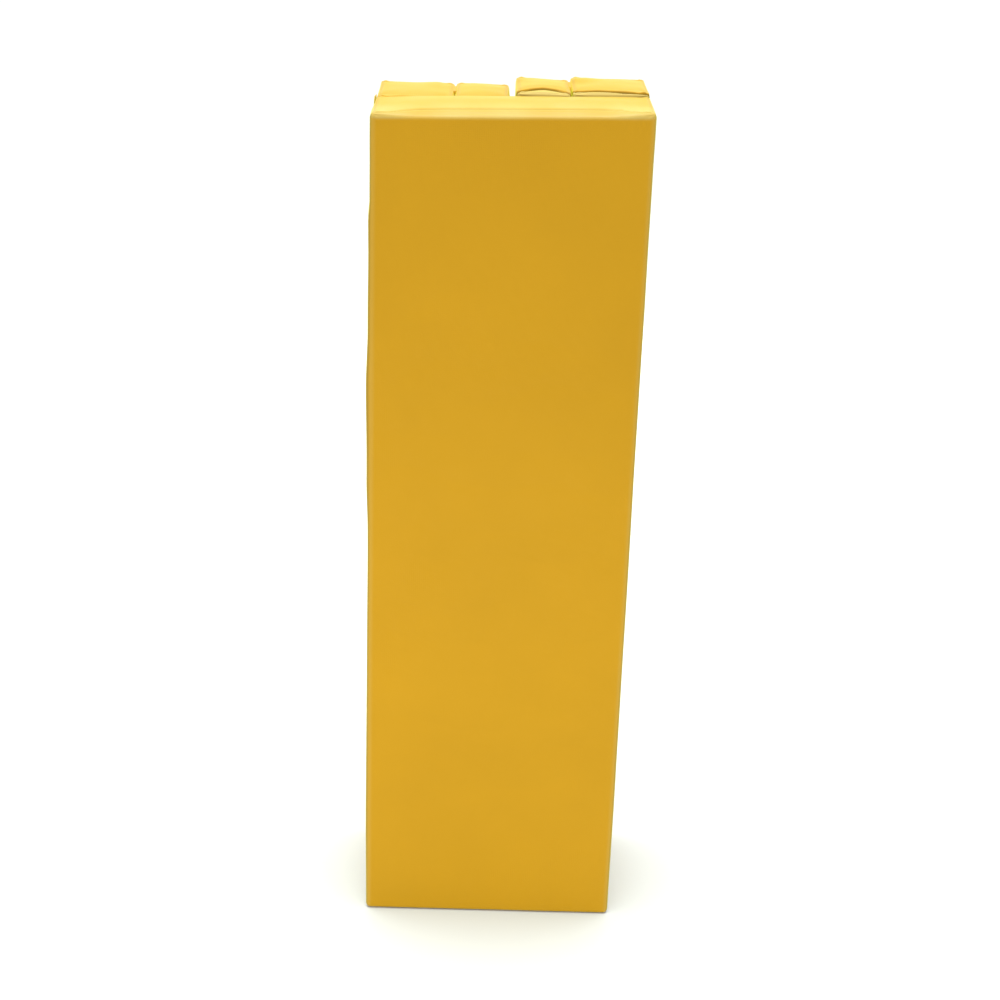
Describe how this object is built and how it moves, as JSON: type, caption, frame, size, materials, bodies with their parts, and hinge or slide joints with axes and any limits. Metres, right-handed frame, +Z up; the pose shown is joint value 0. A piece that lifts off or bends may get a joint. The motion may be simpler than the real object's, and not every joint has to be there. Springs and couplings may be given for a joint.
{
  "type": "folding foam sleeping pad",
  "caption": "Thick foam sleeping pad in a smooth coated cover, folded closed like a gate: a wide main panel with paired blocks that hinge open behind it.",
  "frame": {"origin": "on the floor under the middle of the closed pad, standing on one end", "axes": "+Z up along the pad's length, +X along the main panel's width, -Y out of the main panel's outer face, +Y out of the flaps' carrying side"},
  "size_m": [0.3724, 0.24, 1.2],
  "materials": {
    "cover": "smooth satin coated fabric",
    "foam": "matt open-cell foam",
    "zip_tape": "woven tape and moulded teeth",
    "metal": "nickel plated",
    "hook_loop": "napped hook and loop tape",
    "webbing": "woven webbing"
  },
  "bodies": {
    "main_panel": {"main_sleeve": "cover", "main_bottom_cap": "cover", "main_top_cap": "cover", "main_foam_core": "foam", "main_zip_chain": "zip_tape", "main_eyelet": "metal", "left_hook_strip": "hook_loop", "left_hinge_web": "cover", "right_hook_strip": "hook_loop", "right_hinge_web": "cover"},
    "left_outer_block": {"left_outer_sleeve": "cover", "left_outer_bottom_cap": "cover", "left_outer_top_cap": "cover", "left_outer_foam_core": "foam", "left_outer_zip_chain": "zip_tape", "left_outer_eyelet": "metal", "left_channel_web": "cover"},
    "left_inner_block": {"left_inner_sleeve": "cover", "left_inner_bottom_cap": "cover", "left_inner_top_cap": "cover", "left_inner_foam_core": "foam", "left_inner_zip_chain": "zip_tape", "left_inner_eyelet": "metal", "left_loop_strip": "hook_loop", "left_handle": "webbing", "left_handle_upper_patch": "cover", "left_handle_lower_patch": "cover"},
    "right_outer_block": {"right_outer_sleeve": "cover", "right_outer_bottom_cap": "cover", "right_outer_top_cap": "cover", "right_outer_foam_core": "foam", "right_outer_zip_chain": "zip_tape", "right_outer_eyelet": "metal", "right_channel_web": "cover"},
    "right_inner_block": {"right_inner_sleeve": "cover", "right_inner_bottom_cap": "cover", "right_inner_top_cap": "cover", "right_inner_foam_core": "foam", "right_inner_zip_chain": "zip_tape", "right_inner_eyelet": "metal", "right_loop_strip": "hook_loop", "right_handle": "webbing", "right_handle_upper_patch": "cover", "right_handle_lower_patch": "cover"},
    "main_zip_slider_body": {"main_zip_slider": "metal"},
    "main_zip_pull_body": {"main_zip_pull": "metal"},
    "left_outer_zip_slider_body": {"left_outer_zip_slider": "metal"},
    "left_outer_zip_pull_body": {"left_outer_zip_pull": "metal"},
    "left_inner_zip_slider_body": {"left_inner_zip_slider": "metal"},
    "left_inner_zip_pull_body": {"left_inner_zip_pull": "metal"},
    "right_outer_zip_slider_body": {"right_outer_zip_slider": "metal"},
    "right_outer_zip_pull_body": {"right_outer_zip_pull": "metal"},
    "right_inner_zip_slider_body": {"right_inner_zip_slider": "metal"},
    "right_inner_zip_pull_body": {"right_inner_zip_pull": "metal"}
  },
  "joints": [
    {"name": "left_flap_hinge", "type": "hinge", "parent": "main_panel", "child": "left_outer_block", "pos_m": [-0.184, -0.008, 0.6], "axis": [0, 0, 1], "range_deg": [0, 180], "deforming": ["left_hinge_web"]},
    {"name": "left_channel_flex", "type": "hinge", "parent": "left_outer_block", "child": "left_inner_block", "pos_m": [-0.0775, 0.049, 0.6], "axis": [0, 0, 1], "range_deg": [0, 5], "deforming": ["left_channel_web"]},
    {"name": "right_flap_hinge", "type": "hinge", "parent": "main_panel", "child": "right_outer_block", "pos_m": [0.184, -0.008, 0.6], "axis": [0, 0, -1], "range_deg": [0, 180], "deforming": ["right_hinge_web"]},
    {"name": "right_channel_flex", "type": "hinge", "parent": "right_outer_block", "child": "right_inner_block", "pos_m": [0.0775, 0.049, 0.6], "axis": [0, 0, -1], "range_deg": [0, 5], "deforming": ["right_channel_web"]},
    {"name": "main_zip_slide", "type": "slide", "parent": "main_panel", "child": "main_zip_slider_body", "axis": [0, 0, 1], "range_m": [0, 1.032]},
    {"name": "main_pull_swing", "type": "hinge", "parent": "main_zip_slider_body", "child": "main_zip_pull_body", "pos_m": [0.1834, -0.045, 0.0815], "axis": [0, 1, 0], "range_deg": [-150, 0]},
    {"name": "left_outer_zip_slide", "type": "slide", "parent": "left_outer_block", "child": "left_outer_zip_slider_body", "axis": [0, 0, 1], "range_m": [0, 1.032]},
    {"name": "left_outer_pull_swing", "type": "hinge", "parent": "left_outer_zip_slider_body", "child": "left_outer_zip_pull_body", "pos_m": [-0.152, 0.1074, 0.0815], "axis": [1, 0, 0], "range_deg": [0, 150]},
    {"name": "left_inner_zip_slide", "type": "slide", "parent": "left_inner_block", "child": "left_inner_zip_slider_body", "axis": [0, 0, 1], "range_m": [0, 1.032]},
    {"name": "left_inner_pull_swing", "type": "hinge", "parent": "left_inner_zip_slider_body", "child": "left_inner_zip_pull_body", "pos_m": [-0.054, 0.1074, 0.0815], "axis": [1, 0, 0], "range_deg": [0, 150]},
    {"name": "right_outer_zip_slide", "type": "slide", "parent": "right_outer_block", "child": "right_outer_zip_slider_body", "axis": [0, 0, 1], "range_m": [0, 1.032]},
    {"name": "right_outer_pull_swing", "type": "hinge", "parent": "right_outer_zip_slider_body", "child": "right_outer_zip_pull_body", "pos_m": [0.152, 0.1074, 0.0815], "axis": [1, 0, 0], "range_deg": [0, 150]},
    {"name": "right_inner_zip_slide", "type": "slide", "parent": "right_inner_block", "child": "right_inner_zip_slider_body", "axis": [0, 0, 1], "range_m": [0, 1.032]},
    {"name": "right_inner_pull_swing", "type": "hinge", "parent": "right_inner_zip_slider_body", "child": "right_inner_zip_pull_body", "pos_m": [0.054, 0.1074, 0.0815], "axis": [1, 0, 0], "range_deg": [0, 150]}
  ]
}
